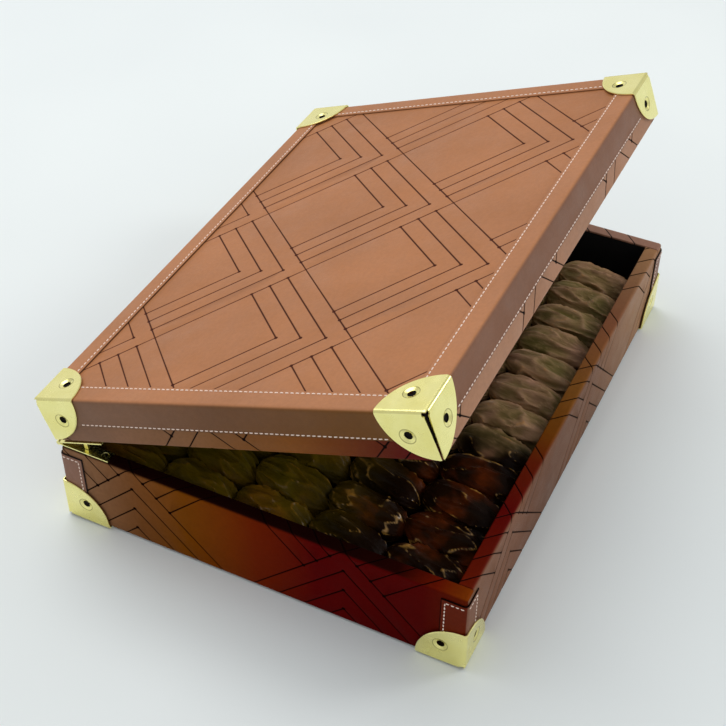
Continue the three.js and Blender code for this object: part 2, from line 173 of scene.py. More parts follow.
SIDES = {("x", -1): "left", ("x", 1): "right", ("y", -1): "front", ("y", 1): "back"}
CORNERS = [(x, y, f"{SIDES['y', y]}_{SIDES['x', x]}") for x in (-1, 1) for y in (-1, 1)]

Sheet = namedtuple("Sheet", "points triangles sunk ink edge")


# ---- The frame.


def joint(name):
    return next(j for j in frame["joints"] if j["name"] == name)


HINGE = Vector(joint("lid_hinge")["pos_m"]) / MM
LID_ANGLE = -math.radians(joint("lid_hinge")["range_deg"][0])
OPENING = (
    Matrix.Translation(HINGE) @ Matrix.Rotation(-LID_ANGLE, 4, "X") @ Matrix.Translation(-HINGE)
)


def box_of(node):
    """A base node's lowest and highest corners."""
    low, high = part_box(node)
    return low / MM, high / MM


def closed_box(node):
    """A lid node's lowest and highest corners in the closed box."""
    closing = OPENING.inverted()
    corners = [closing @ (v.co / MM) for v in frame["nodes"][node].data.vertices]
    low = Vector(min(c[i] for c in corners) for i in range(3))
    high = Vector(max(c[i] for c in corners) for i in range(3))
    return low, high


def reach_of(low, high):
    """How far a box goes from the object's middle, along X and along Y."""
    return max(abs(low.x), abs(high.x)), max(abs(low.y), abs(high.y))


# ---- Making meshes.


def turned(points, matrix):
    rotation = np.array(matrix.to_3x3())
    return points @ rotation.T + np.array(matrix.translation)


def volume(points, faces):
    """Six times the volume, which is below 0 if the faces look inwards."""
    total = 0.0
    for face in faces:
        for i in range(1, len(face) - 1):
            a, b, c = points[face[0]], points[face[i]], points[face[i + 1]]
            total += float(np.dot(a, np.cross(b, c)))
    return total


def shown(name, data):
    """A new object in the scene."""
    made = bpy.data.objects.new(name, data)
    bpy.context.scene.collection.objects.link(made)
    return made


def make_piece(
    name, points, faces, body, material, slot, stands_for=(), ink=None, rim=None, sharp=20
):
    """A closed mesh from points in millimetres. Lid pieces come in closed coordinates. Its darkness
    and rim are numbers from 0 to 1 at its points, which the materials read. The darkness is the ink
    of drawn lines and also painted shade, as under holes and seams, and on dates it places painted
    shade and highlights."""
    points = np.asarray(points, float)
    if volume(points, faces) < 0:
        faces = [tuple(reversed(face)) for face in faces]
    if body == "lid":
        points = turned(points, OPENING)
    mesh = bpy.data.meshes.new(name)
    mesh.from_pydata((points * MM).tolist(), [], [list(map(int, face)) for face in faces])
    mesh.polygons.foreach_set("use_smooth", [True] * len(mesh.polygons))
    mesh.set_sharp_from_angle(angle=math.radians(sharp))
    for label, values in (("ink", ink), ("rim", rim)):
        if values is not None:
            attribute = mesh.attributes.new(label, "FLOAT", "POINT")
            attribute.data.foreach_set("value", np.asarray(values, np.float32))
    mesh.materials.append(material)
    piece = shown(name, mesh)
    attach(piece, body)
    if stands_for:
        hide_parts(*stands_for)


def tube_faces(rings, around):
    """Faces between rings of so many points around."""
    faces = []
    for j in range(rings - 1):
        for i in range(around):
            a = j * around + i
            b = j * around + (i + 1) % around
            faces.append((a, b, b + around, a + around))
    return faces


def joined(parts):
    """The points and faces of several meshes as one mesh's."""
    points, faces = [], []
    for part in parts:
        faces.extend(tuple(v + len(points) for v in face) for face in part[1])
        points.extend(part[0])
    return points, faces


# ---- Flat sheets: an outline with holes, grooves and dots, cut into triangles.


def distances(points, a, b):
    """From each point to the stretch between a and b."""
    a = np.array(a, float)
    ab = np.array(b, float) - a
    along = np.clip((points - a) @ ab / max(float(ab @ ab), 1e-12), 0, 1)
    return np.linalg.norm(points - a - along[:, None] * ab, axis=1)


def pairs_round(loop):
    return list(zip(loop, (*loop[1:], loop[0])))


def inset(loop, distance):
    """The loop, which runs anticlockwise, moved inwards."""
    moved = []
    for i, corner in enumerate(loop):
        before = (Vector(corner) - Vector(loop[i - 1])).normalized()
        after = (Vector(loop[(i + 1) % len(loop)]) - Vector(corner)).normalized()
        normal_before = Vector((-before.y, before.x))
        normal_after = Vector((-after.y, after.x))
        reach = distance / max(0.2, 1 + normal_before.dot(normal_after))
        moved.append(tuple(Vector(corner) + (normal_before + normal_after) * reach))
    return moved


def inside(point, loop):
    x, y = point
    hit = False
    for (x0, y0), (x1, y1) in pairs_round(loop):
        if (y0 > y) != (y1 > y) and x < x0 + (y - y0) * (x1 - x0) / (y1 - y0):
            hit = not hit
    return hit


def ring(centre, radius, count):
    angles = [2 * math.pi * i / count for i in range(count)]
    return [(centre[0] + radius * math.cos(a), centre[1] + radius * math.sin(a)) for a in angles]


def groove_outline(a, b):
    a, b = Vector(a), Vector(b)
    along = (b - a).normalized() * GROOVE_HALF
    side = Vector((-along.y, along.x))
    return [a - along, a - side, b - side, b + along, b + side, a + side]


def triangulate(loops, lines, dots, keep):
    """Constrained triangles of the plane, without those whose middle keep refuses."""
    points, edges = [], []
    for loop in (*loops, *lines):
        start, count = len(points), len(loop)
        points.extend(Vector(p) for p in loop)
        edges.extend((start + i, start + (i + 1) % count) for i in range(count if count > 2 else 1))
    points.extend(Vector(p) for p in dots)
    found = delaunay_2d_cdt(points, edges, [], 0, 1e-4)
    flat = np.array([tuple(p) for p in found[0]])
    triangles = [face for face in found[2] if keep(flat[list(face)].mean(axis=0))]
    used = sorted({i for t in triangles for i in t})
    order = {old: new for new, old in enumerate(used)}
    return flat[used], [tuple(order[i] for i in t) for t in triangles]


def border_of(triangles):
    """The directed edges that only one triangle has."""
    edges = {(t[i], t[(i + 1) % 3]) for t in triangles for i in range(3)}
    return [(a, b) for a, b in edges if (b, a) not in edges]


def flat_sheet(outline, folds=(), grooves=(), dots=(), holes=(), lip=LIP):
    """A Sheet: its points and triangles, and for each point how deep it is sunk, how dark it is,
    from the ink of lines and dots and from painted shade under holes, and how near the outline it
    is. A dot is a place and a radius."""
    loops = [outline, inset(outline, lip), *holes]
    lines = [*folds, *grooves]
    loops.extend(groove_outline(a, b) for a, b in grooves)
    for centre, radius in dots:
        sides = DOT_SIDES if radius == DOT_RADIUS else SHADE_SIDES
        loops.extend((ring(centre, radius, sides), ring(centre, radius * DOT_CORE, sides)))

    def keep(p):
        return inside(p, outline) and not any(inside(p, hole) for hole in holes)

    points, triangles = triangulate(loops, lines, [centre for centre, _ in dots], keep)
    ink = np.zeros(len(points))
    for a, b in grooves:
        ink = np.maximum(ink, 1 - distances(points, a, b) / GROOVE_HALF)
    sunk = ink * GROOVE_DEPTH
    for centre, radius in dots:
        away = np.linalg.norm(points - np.array(centre), axis=1)
        shade = np.clip((1 - away / radius) / (1 - DOT_CORE), 0, 1)
        ink = np.maximum(ink, shade)
        sunk = np.maximum(sunk, shade * GROOVE_DEPTH)
    edge = np.zeros(len(points))
    for a, b in pairs_round(outline):
        edge = np.maximum(edge, 1 - distances(points, a, b) / lip)
    sunk = np.maximum(sunk, edge * LIP_DROP)
    return Sheet(points, triangles, sunk, ink, np.clip(edge, 0, 1))


def folded(flat, place, thickness):
    """Both faces of a sheet and its cut edges, as points and faces."""
    along, over = flat.points[:, 0], flat.points[:, 1]
    count = len(along)
    outer = place(along, over, flat.sunk)
    inner = place(along, over, np.full(count, thickness))
    faces = list(flat.triangles)
    faces.extend((c + count, b + count, a + count) for a, b, c in flat.triangles)
    faces.extend((b, a, a + count, b + count) for a, b in border_of(flat.triangles))
    return np.vstack((outer, inner)), faces


def twice(values):
    """The outer face's values, for both faces of a sheet."""
    return np.concatenate((values, values))


def tucked(away, depth, radius):
    """How far from a sharp fold a point at this depth is, so that the sheet fits round it."""
    return np.where(away < radius, depth + away * (radius - depth) / radius, away)


def rounded(points, half, low, high, radius):
    """Rounds the edges and corners of a box, taking what lies on or in it along."""
    inner_low = [-half[0] + radius, -half[1] + radius, low + radius]
    inner_high = [half[0] - radius, half[1] - radius, high - radius]
    core = np.clip(points, inner_low, inner_high)
    out = points - core
    length = np.linalg.norm(out, axis=1)
    longest = np.abs(out).max(axis=1)
    scale = np.where(length > 1e-9, longest / np.maximum(length, 1e-9), 1.0)
    return core + out * scale[:, None]


def rounding_steps(radius, steps=3):
    """Distances from a sharp edge at which the rounded one has a line, and one line more
    that keeps the shading of the flat face beyond it flat."""
    turns = [radius * math.tan(math.pi / 4 * i / steps) for i in range(steps + 1)]
    return [*turns, radius * FLAT_LINE]


# ---- The drawn pattern, as grooves on a flat sheet.


def motif(x, y, up):
    """The lines that start at one node: two main ones and the chevrons between them."""
    share = math.sqrt(0.5)

    def at(u, v):
        return (x + (u - v) * share, y + up * (u + v) * share)

    main = [(at(0, 0), at(PATTERN_PITCH, 0)), (at(0, 0), at(0, PATTERN_PITCH))]
    nested = []
    for i in range(1, CHEVRONS + 1):
        d = i * PATTERN_STEP
        nested.append((at(d, d), at(d, PATTERN_PITCH)))
        nested.append((at(d, d), at(PATTERN_PITCH, d)))
    return main, nested


def clipped(a, b, low, high):
    """The part of a stretch inside a rectangle, or None."""
    start, end = 0.0, 1.0
    for i in range(2):
        step = b[i] - a[i]
        if abs(step) > 1e-9:
            near, far = sorted(((low[i] - a[i]) / step, (high[i] - a[i]) / step))
            start, end = max(start, near), min(end, far)
        elif not low[i] <= a[i] <= high[i]:
            return None
    if end - start < 0.01:
        return None
    return tuple(tuple(a[i] + (b[i] - a[i]) * t for i in range(2)) for t in (start, end))


def pattern(node, up, low, high):
    """Grooves and dots of the whole lattice through one node, inside a rectangle."""
    grooves, dots = [], []
    half = NODE_SPACING / 2
    rows = range(-NODE_REACH, NODE_REACH + 1)
    margin = 2 * DOT_RADIUS
    for i in rows:
        for j in rows:
            if (i + j) % 2:
                continue
            main, nested = motif(node[0] + i * half, node[1] + j * half, up)
            for a, b in main + nested:
                found = clipped(a, b, low, high)
                if found:
                    grooves.append(found)
            for end in {p for line in nested for p in line}:
                if all(low[k] + margin < end[k] < high[k] - margin for k in range(2)):
                    dots.append((end, DOT_RADIUS))
    return grooves, dots


# ---- Walls: a sheet folded over the rim of the base or the lid.


def wall_folds(outline, half_along):
    """Lines that a wall sheet bends along: over the rim and round the corners."""
    low = (min(p[0] for p in outline) - 1, min(p[1] for p in outline) - 1)
    high = (max(p[0] for p in outline) + 1, max(p[1] for p in outline) + 1)
    lines = []
    for step in rounding_steps(BOX_RADIUS):
        for sign in (-1, 1):
            lines.append(((low[0], sign * step), (high[0], sign * step)))
            end = sign * (half_along - step)
            lines.append(((end, low[1]), (end, high[1])))
    return lines


class WallSet:
    """Four sheets folded over the same rim. A point of a sheet has a place along it and over
    the fold: over is negative down the outer face and positive on the flange."""

    def __init__(self, box_reader, nodes, hangs, thickness):
        """nodes names the CAD's four sheets. hangs is 1 below the rim and -1 above it."""
        low, high = box_reader(nodes.format("left"))
        self.half = (-low.x, -box_reader(nodes.format("front"))[0].y)
        self.rim = high.z if hangs > 0 else low.z
        self.hangs, self.thickness = hangs, thickness
        self.drop = high.z - low.z
        self.reach = high.x - low.x
        self.low, self.high = (-FAR, self.rim) if hangs > 0 else (self.rim, FAR)

    def place(self, axis, side, along, over, depth):
        """Where a point goes."""
        past = tucked(np.abs(over), depth, BOX_RADIUS)
        out = np.where(over < 0, depth, past)
        z = self.rim - self.hangs * np.where(over < 0, past, depth)
        if axis == "x":
            sharp = np.stack((side * (self.half[0] - out), along, z), axis=1)
        else:
            sharp = np.stack((along, side * (self.half[1] - out), z), axis=1)
        return rounded(sharp, self.half, self.low, self.high, BOX_RADIUS)

    def outline(self, axis):
        """A left or right sheet is a rectangle. A front or back one is notched, because the
        others' flanges fill the corners."""
        drop, reach = self.drop, self.reach
        if axis == "x":
            long = self.half[1]
            return [(-long, -drop), (long, -drop), (long, reach), (-long, reach)]
        long = self.half[0] - self.thickness - GAP
        short = self.half[0] - reach - GAP
        shoulder = -self.thickness - GAP
        right = [(long, -drop), (long, shoulder), (short, shoulder), (short, reach)]
        return [(-long, -drop), *right, *[(-x, y) for x, y in reversed(right[1:])]]

    def sheet(self, axis, side, grooves=(), dots=(), holes=(), lines=()):
        outline = self.outline(axis)
        along = self.half[1] if axis == "x" else self.half[0]
        flat = flat_sheet(outline, [*wall_folds(outline, along), *lines], grooves, dots, holes)
        return folded(flat, partial(self.place, axis, side), self.thickness), flat

    def pattern(self, axis, node, up):
        """The lattice on a wall. node is the place of one of its nodes."""
        along = self.half[1] if axis == "x" else self.half[0] - self.reach - GAP
        return pattern(node, up, (-along, -self.drop), (along, self.reach))


# ---- Materials.


def linear(red, green, blue):
    """A screen colour, 0 to 255, as light."""
    values = []
    for part in (red, green, blue):
        share = part / 255
        values.append(share / 12.92 if share <= 0.04045 else ((share + 0.055) / 1.055) ** 2.4)
    return (*values, 1.0)


def stops(*rows):
    """A ramp's stops, from rows of a position and a screen colour."""
    return [(place, linear(*colour)) for place, *colour in rows]


class Recipe:
    """A material under construction."""

    def __init__(self, name):
        self.material = bpy.data.materials.new(name)
        self.material.use_nodes = True
        self.tree = self.material.node_tree
        self.shader = self.tree.nodes["Principled BSDF"]
        self.place = self.add("TexCoord", {}, "Object")

    def feed(self, socket, value):
        if isinstance(value, bpy.types.NodeSocket):
            self.tree.links.new(value, socket)
        else:
            socket.default_value = value

    def add(self, kind, inputs, output, **settings):
        """Adds a node, feeds its inputs and gives one of its outputs."""
        node = self.tree.nodes.new(f"ShaderNode{kind}")
        for key, value in settings.items():
            setattr(node, key, value)
        for key, value in inputs.items():
            self.feed(node.inputs[key], value)
        return node.outputs[output]

    def noise(self, scale, detail=3.0, roughness=0.5, place=None):
        inputs = {"Vector": place or self.place, "Scale": scale}
        return self.add("TexNoise", {**inputs, "Detail": detail, "Roughness": roughness}, "Fac")

    def cells(self, scale):
        inputs = {"Vector": self.place, "Scale": scale}
        return self.add("TexVoronoi", inputs, "Distance", feature="DISTANCE_TO_EDGE")

    def stretched(self, scale):
        return self.add("Mapping", {"Vector": self.place, "Scale": scale}, "Vector")

    def range(self, value, low, high, out_low=0.0, out_high=1.0, smooth=False):
        ends = {"From Min": low, "From Max": high, "To Min": out_low, "To Max": out_high}
        kind = "SMOOTHSTEP" if smooth else "LINEAR"
        return self.add("MapRange", {"Value": value, **ends}, "Result", interpolation_type=kind)

    def ramp(self, value, rows):
        output = self.add("ValToRGB", {"Fac": value}, "Color")
        elements = output.node.color_ramp.elements
        elements[0].position, elements[0].color = rows[0]
        elements[1].position, elements[1].color = rows[-1]
        for position, colour in rows[1:-1]:
            elements.new(position).color = colour
        return output

    def mix(self, amount, a, b, blend="MIX"):
        """Mixes colours, whose sockets are the node's inputs 6 and 7 and output 2."""
        inputs = {"Factor": amount, 6: a, 7: b}
        return self.add("Mix", inputs, 2, data_type="RGBA", blend_type=blend)

    def blend(self, amount, a, b):
        """Mixes numbers."""
        return self.add("Mix", {"Factor": amount, "A": a, "B": b}, "Result")

    def math(self, operation, a, b=0.0):
        return self.add("Math", {0: a, 1: b}, 0, operation=operation)

    def attribute(self, name):
        return self.add("Attribute", {}, "Fac", attribute_name=name)

    def axis(self, name):
        return self.add("SeparateXYZ", {0: self.place}, name)

    def bump(self, height, distance, strength=1.0, below=None):
        inputs = {"Strength": strength, "Distance": distance, "Height": height}
        if below is not None:
            inputs["Normal"] = below
        return self.add("Bump", inputs, "Normal")

    def set(self, **values):
        for key, value in values.items():
            self.feed(self.shader.inputs[key.replace("_", " ")], value)
        return self.material


def grain(recipe, depth):
    """The fine pebbling of smooth leather."""
    pebble = recipe.range(recipe.cells(1500), 0.0, 0.35, 0.0, 1.0)
    fine = recipe.noise(3200, 2.0)
    soft = recipe.noise(140, 3.0)
    first = recipe.bump(soft, depth * 5, 0.5)
    second = recipe.bump(pebble, depth, 0.6, first)
    return recipe.bump(fine, depth * 0.6, 0.4, second)


def mottled(recipe, colour, spread):
    """A leather colour that varies a little from place to place."""
    patches = recipe.range(recipe.noise(14, 4.0), 0.3, 0.7, 1 - spread, 1 + spread)
    specks = recipe.range(recipe.noise(420, 3.0), 0.3, 0.7, 1 - spread * 0.5, 1 + spread * 0.5)
    shade = recipe.math("MULTIPLY", patches, specks)
    tint = recipe.add("CombineColor", {"Red": shade, "Green": shade, "Blue": shade}, "Color")
    return recipe.mix(1.0, colour, tint, "MULTIPLY")


def coloured(recipe, colour):
    """A colour, or what a function makes of the recipe."""
    return colour(recipe) if callable(colour) else colour


def leather_finish(name, colour, ink_and_shade_colour, spread=0.1, shine=0.3):
    recipe = Recipe(name)
    body = mottled(recipe, coloured(recipe, colour), spread)
    # Darker where the drawn lines' ink is, and where shade is painted under holes, seams and edges.
    ink = recipe.range(recipe.attribute("ink"), 0.05, 0.65)
    gloss = recipe.range(recipe.noise(60, 4.0), 0.3, 0.7, 0.4, 0.55)
    return recipe.set(
        Base_Color=recipe.mix(ink, body, ink_and_shade_colour),
        Roughness=recipe.blend(ink, gloss, 0.95),
        Normal=grain(recipe, 0.00005),
        Specular_IOR_Level=shine,
    )


def wall_finish(name, colour, shine=0.3):
    """Leather of the walls and patches, whose lines, and the painted shade under holes and along
    patch edges, are nearly black.
    """
    return leather_finish(f"{name}_leather", colour, INK_AND_SHADE_ON_BROWN, 0.12, shine)


def edging_finish(name, side):
    # The side leg is darker than the top: painted shade, as the sides get less light.
    return leather_finish(name, face_and_rim(side, EDGING_TOP), EDGING_EDGE_PAINT_AND_SHADE, shine=0.2)


def along_axis(axis, rows):
    """A colour that changes along the box."""

    def colour(recipe):
        half = FADE_HALF[axis] * MM
        return recipe.ramp(recipe.range(recipe.axis(axis), -half, half), rows)

    return colour


def face_and_rim(face, rim):
    """One colour on a wall's face and another on its rim."""

    def colour(recipe):
        below, above = coloured(recipe, face), coloured(recipe, rim)
        return recipe.mix(recipe.attribute("rim"), below, above)

    return colour


def brass_finish():
    recipe = Recipe("polished_brass")
    tone = recipe.ramp(recipe.noise(60, 4.0), stops((0.3, 244, 234, 148), (0.7, 252, 244, 168)))
    tarnish = recipe.range(recipe.noise(500, 3.0), 0.62, 0.85, 0.0, 0.2)
    tarnished = recipe.mix(tarnish, tone, linear(196, 176, 100))
    # Painted shade: a dark line round each dimple.
    dimple_shade = recipe.math("MULTIPLY", recipe.attribute("ink"), 0.75)
    waves = recipe.bump(recipe.noise(40, 2.0), 0.00012, 0.3)
    scratches = recipe.noise(700, 3.0, 0.6, recipe.stretched((1, 6, 3)))
    return recipe.set(
        Base_Color=recipe.mix(dimple_shade, tarnished, linear(96, 84, 30)),
        Roughness=recipe.range(recipe.noise(160, 4.0), 0.3, 0.7, 0.2, 0.3),
        Normal=recipe.bump(scratches, 0.000008, 0.3, waves),
        Metallic=1.0,
    )


def thread_finish():
    recipe = Recipe("pale_thread")
    twist = recipe.noise(2600, 2.0)
    return recipe.set(
        Base_Color=recipe.ramp(twist, stops((0.3, 226, 196, 176), (0.7, 255, 240, 228))),
        Roughness=0.75,
        Normal=recipe.bump(twist, 0.0001, 0.6),
    )


def cloth_finish(name, dark, light, sheen):
    """Black cloth or card: crossed threads under a short nap."""
    recipe = Recipe(name)
    wave = {"wave_type": "BANDS", "bands_direction": "DIAGONAL"}
    inputs = {"Vector": recipe.place, "Scale": 420, "Distortion": 1.5}
    warp = recipe.add("TexWave", inputs, "Fac", **wave)
    nap = recipe.noise(1300, 4.0)
    weave = recipe.math("MULTIPLY", warp, nap)
    return recipe.set(
        Base_Color=recipe.ramp(weave, stops((0.1, *dark), (0.7, *light))),
        Roughness=recipe.range(nap, 0.3, 0.7, 0.75, 0.95),
        Normal=recipe.bump(weave, 0.0001, 0.7),
        Specular_IOR_Level=0.2,
        Sheen_Weight=sheen,
    )


def board_finish():
    recipe = Recipe("grey_board")
    fibres = recipe.noise(500, 5.0, 0.6, recipe.stretched((1, 1, 9)))
    return recipe.set(
        Base_Color=recipe.ramp(fibres, stops((0.3, 96, 78, 58), (0.7, 140, 118, 90))),
        Roughness=0.92,
        Normal=recipe.bump(fibres, 0.0002, 0.5),
    )


def date_zones(recipe, wander):
    """How olive the skin is and how much painted haze of light it has. It is dark brown by the
    front left corner, which is painted shade, olive further in, and a lighter hazy brown towards
    +X, most of all along the front, which is painted haze of light."""
    across = recipe.math("ADD", recipe.axis("Y"), wander)
    along = recipe.math("ADD", recipe.axis("X"), wander)
    inner = recipe.range(across, -0.045, 0.04, smooth=True)
    by_front = recipe.range(across, -0.05, 0.02, 1.0, 0.3, smooth=True)
    painted_haze = recipe.math("MULTIPLY", recipe.range(along, -0.04, -0.01, smooth=True), by_front)
    return inner, painted_haze


def date_body(recipe, patches, inner, painted_haze):
    zones = (DATE_FRONT, DATE_OLIVE, DATE_PALE)
    front, olive, pale = (recipe.ramp(patches, rows) for rows in zones)
    return recipe.mix(painted_haze, recipe.mix(inner, front, olive), pale)


def date_crests(recipe, ink, inner, painted_haze):
    """The broken strokes of painted highlight on the crests: where, how strong and of what colour.
    """
    high = recipe.range(ink, 0.56, 0.2, smooth=True)
    crest = recipe.math("MULTIPLY", high, recipe.range(recipe.noise(120), 0.42, 0.56))
    strength = recipe.blend(painted_haze, recipe.range(inner, 0.0, 1.0, 0.5, 0.22), 0.5)
    # Cream and yellow painted highlights, and pinkish brown ones where haze is painted.
    near = recipe.mix(inner, linear(236, 186, 104), linear(190, 144, 56))
    return crest, strength, recipe.mix(painted_haze, near, linear(216, 178, 152))


def date_finish():
    """Wrinkled date skin, with a sticky gloss, painted highlights on its crests and painted shade
    away from them. The attribute that it reads is 0 on the crests and 1 away from them."""
    recipe = Recipe("date_skin")
    patches = recipe.noise(34)
    inner, painted_haze = date_zones(recipe, recipe.math("MULTIPLY", patches, 0.05))
    ink = recipe.attribute("ink")
    body = date_body(recipe, patches, inner, painted_haze)
    # Painted shade away from the crests, in the folds.
    shaded = recipe.mix(recipe.range(ink, 0.7, 1.0, 0.0, 0.3), body, linear(30, 20, 4))
    # Painted haze of light, pinkish brown, on the crests of the hazy zone.
    crest_haze = recipe.math("MULTIPLY", recipe.range(ink, 1.0, 0.5, 0.0, 0.45), painted_haze)
    hazed = recipe.mix(crest_haze, shaded, linear(190, 146, 118))
    # Painted highlights in broken strokes on the crests.
    crest, strength, highlight_colour = date_crests(recipe, ink, inner, painted_haze)
    folds = recipe.noise(200, 3.0, 0.5, recipe.stretched((1, 0.3, 1)))
    sharp = recipe.math("ABSOLUTE", recipe.math("SUBTRACT", folds, 0.5))
    skin = recipe.bump(recipe.range(sharp, 0.0, 0.16, 1.0, 0.0), 0.0006, 0.6)
    return recipe.set(
        Base_Color=recipe.mix(recipe.math("MULTIPLY", crest, strength), hazed, highlight_colour),
        Roughness=recipe.range(recipe.noise(180, 4.0), 0.3, 0.7, 0.4, 0.6),
        Normal=recipe.bump(recipe.noise(520, 5.0, 0.6), 0.0003, 0.3, skin),
        Coat_Weight=recipe.range(crest, 0.0, 1.0, 0.04, 0.9),
        Coat_Roughness=0.14,
        Coat_Tint=linear(255, 236, 190),
        Specular_IOR_Level=0.04,
    )


def floor_finish():
    recipe = Recipe("studio_floor")
    tone = recipe.ramp(recipe.noise(3, 2.0), stops((0.3, 229, 234, 233), (0.7, 235, 240, 238)))
    return recipe.set(Base_Color=tone, Roughness=0.6, Specular_IOR_Level=0.15)


TAN = linear(170, 109, 64)
INK_AND_SHADE_ON_TAN = linear(66, 20, 4)
INK_AND_SHADE_ON_BROWN = linear(12, 2, 1)
BROWN = linear(134, 92, 72)
EDGING_TOP = linear(174, 116, 76)
# Dark colour on the edging: edge paint on its rims and seams, and painted shade under its holes,
# seams and step.
EDGING_EDGE_PAINT_AND_SHADE = linear(10, 4, 3)

# Colours along the box, which change from minus this to this.
FADE_HALF = {"X": 175, "Y": 130}
# The base's left face, darker and redder towards the front: painted shade where the lid shades it.
SIDE_FACE = stops(
    (0.0, 96, 28, 6), (0.1, 84, 6, 4), (0.35, 84, 3, 3), (0.5, 104, 30, 2), (0.68, 116, 62, 4),
    (0.8, 122, 74, 36), (0.95, 138, 100, 72),
)
# The rim of the base's left wall, nearly black behind its front end: painted shadow of the lid.
SIDE_RIM = stops((0.0, 132, 58, 8), (0.07, 112, 24, 4), (0.16, 40, 6, 3), (0.3, 26, 5, 3))
FRONT_FACE = stops(
    (0.0, 136, 94, 70), (0.3, 118, 78, 56), (0.6, 122, 86, 64), (0.85, 158, 118, 88),
    (1.0, 166, 122, 90),
)
# The rim of the base's front wall, dark red towards its left end by the front left corner: painted
# shade, as on the left wall.
FRONT_RIM = stops(
    (0.0, 114, 28, 1), (0.2, 96, 4, 1), (0.32, 108, 30, 1), (0.4, 126, 68, 4),
    (0.52, 138, 86, 30), (0.72, 140, 86, 56), (0.9, 152, 110, 74),
)
# The lid's left side: darker than its other walls, and darker and redder towards the front, painted
# shade.
LID_SIDE = stops(
    (0.0, 90, 2, 1), (0.15, 92, 8, 1), (0.4, 130, 74, 20), (0.6, 136, 90, 52),
    (0.9, 134, 98, 76),
)
# The left leg of the edging: darker than the others and towards the front, painted shade.
EDGING_SIDE = stops(
    (0.0, 110, 66, 2), (0.3, 112, 68, 18), (0.6, 116, 75, 44), (0.95, 128, 91, 68),
)

# Patches of colour on the dates of each zone. The front zone's dark brown is painted shade and the
# pale zone's light brown is painted haze of light.
DATE_FRONT = stops((0.4, 22, 6, 1), (0.55, 34, 14, 2), (0.72, 104, 42, 8))
DATE_OLIVE = stops((0.35, 92, 78, 6), (0.5, 104, 82, 7), (0.68, 118, 80, 14))
DATE_PALE = stops((0.35, 132, 118, 64), (0.5, 156, 128, 82), (0.66, 182, 138, 108))

base_left = face_and_rim(along_axis("Y", SIDE_FACE), along_axis("Y", SIDE_RIM))
base_front = face_and_rim(along_axis("X", FRONT_FACE), along_axis("X", FRONT_RIM))
finishes = {
    "tan": leather_finish("tan_leather", TAN, INK_AND_SHADE_ON_TAN),
    "edging_left": edging_finish("edging_left_leather", along_axis("Y", EDGING_SIDE)),
    "edging": edging_finish("edging_leather", linear(132, 88, 63)),
    "lid_left": wall_finish("lid_left", along_axis("Y", LID_SIDE), 0.08),
    "lid_wall": wall_finish("lid_wall", linear(174, 126, 96), 0.15),
    "base_left": wall_finish("base_left", base_left, 0.01),
    "base_front": wall_finish("base_front", base_front, 0.05),
    "base_wall": wall_finish("base_wall", face_and_rim(BROWN, linear(142, 100, 78))),
    "patch": wall_finish("patch", BROWN),
    # The front left patch: deep red on its left face, painted shade as on the left wall.
    "dark_patch": wall_finish("dark_patch", face_and_rim(linear(104, 30, 2), BROWN), 0.05),
    "brass": brass_finish(),
    "thread": thread_finish(),
    "cloth": cloth_finish("black_lining_cloth", (4, 4, 4), (22, 19, 19), 0.05),
    "card": cloth_finish("black_card", (8, 7, 7), (26, 22, 20), 0.0),
    "board": board_finish(),
    "date": date_finish(),
    "floor": floor_finish(),
}


# ---- Leather of the base and the lid.


base_walls = WallSet(box_of, "base_{}_leather", 1, LEATHER)
lid_walls = WallSet(closed_box, "lid_{}_leather", -1, LEATHER)
edging = WallSet(closed_box, "lid_{}_edging", 1, EDGING)
EDGE_HALF, LID_TOP = edging.half, edging.rim


def stay_slot(side, walls):
    """Where the curved stay goes through a side's flange."""
    low, high = box_of(f"{SIDES['x', side]}_stay")
    near = walls.half[0] - max(abs(low.x), abs(high.x)) - GAP
    far = walls.half[0] - min(abs(low.x), abs(high.x)) + GAP
    y0, y1 = (HINGE.y - away for away in SLOT_FROM_AXIS)
    return [(y0, near), (y1, near), (y1, far), (y0, far)]


def rim_share(flat):
    """0 on a wall's outer face and 1 on its flange."""
    return np.clip(flat.points[:, 1] / BOX_RADIUS + 0.5, 0, 1)


def leather_piece(node, body, finish, mesh, ink, rim=None):
    """A sheet in place of a CAD node, with the darkness of its ink and painted shade, and its rim,
    for its outer face.
    """
    rim = None if rim is None else twice(rim)
    name, slot = f"{node}_sheet", f"{body}_leather"
    make_piece(name, *mesh, body, finishes[finish], slot, [node], twice(ink), rim)


def own_or(wall, shared):
    """A wall's own finish if it has one, or else the one that they share."""
    return wall if wall in finishes else shared


def wall_leather(body, walls, nodes, up):
    """The patterned leather of the four walls. Only the base's has a colour for its rim."""
    for (axis, side), wall in SIDES.items():
        grooves, dots = walls.pattern(axis, nodes[axis], up)
        holes = [stay_slot(side, walls)] if axis == "x" else []
        mesh, flat = walls.sheet(axis, side, grooves, dots, holes)
        finish = own_or(f"{body}_{wall}", f"{body}_wall")
        rim = rim_share(flat) if body == "base" else None
        leather_piece(f"{body}_{wall}_leather", body, finish, mesh, flat.ink, rim)


def lid_top_leather():
    low, high = closed_box("lid_top_leather")
    outline = [(low.x, low.y), (high.x, low.y), (high.x, high.y), (low.x, high.y)]
    window = [half - edging.reach + 1 for half in EDGE_HALF]
    grooves, dots = pattern(TOP_NODE, 1, (-window[0], -window[1]), window)
    # Painted shade on the leather under the holes of the brass corners.
    for sx, sy, _ in CORNERS:
        x = sx * (EDGE_HALF[0] - CORNER_HOLE + GAP)
        y = sy * (EDGE_HALF[1] - CORNER_HOLE + GAP)
        dots.append(((x, y), HOLE_SHADE_RADIUS))
    flat = flat_sheet(outline, (), grooves, dots)

    def place(x, y, depth):
        return np.stack((x, y, high.z - depth), axis=1)

    leather_piece("lid_top_leather", "lid", "tan", folded(flat, place, LEATHER), flat.ink)


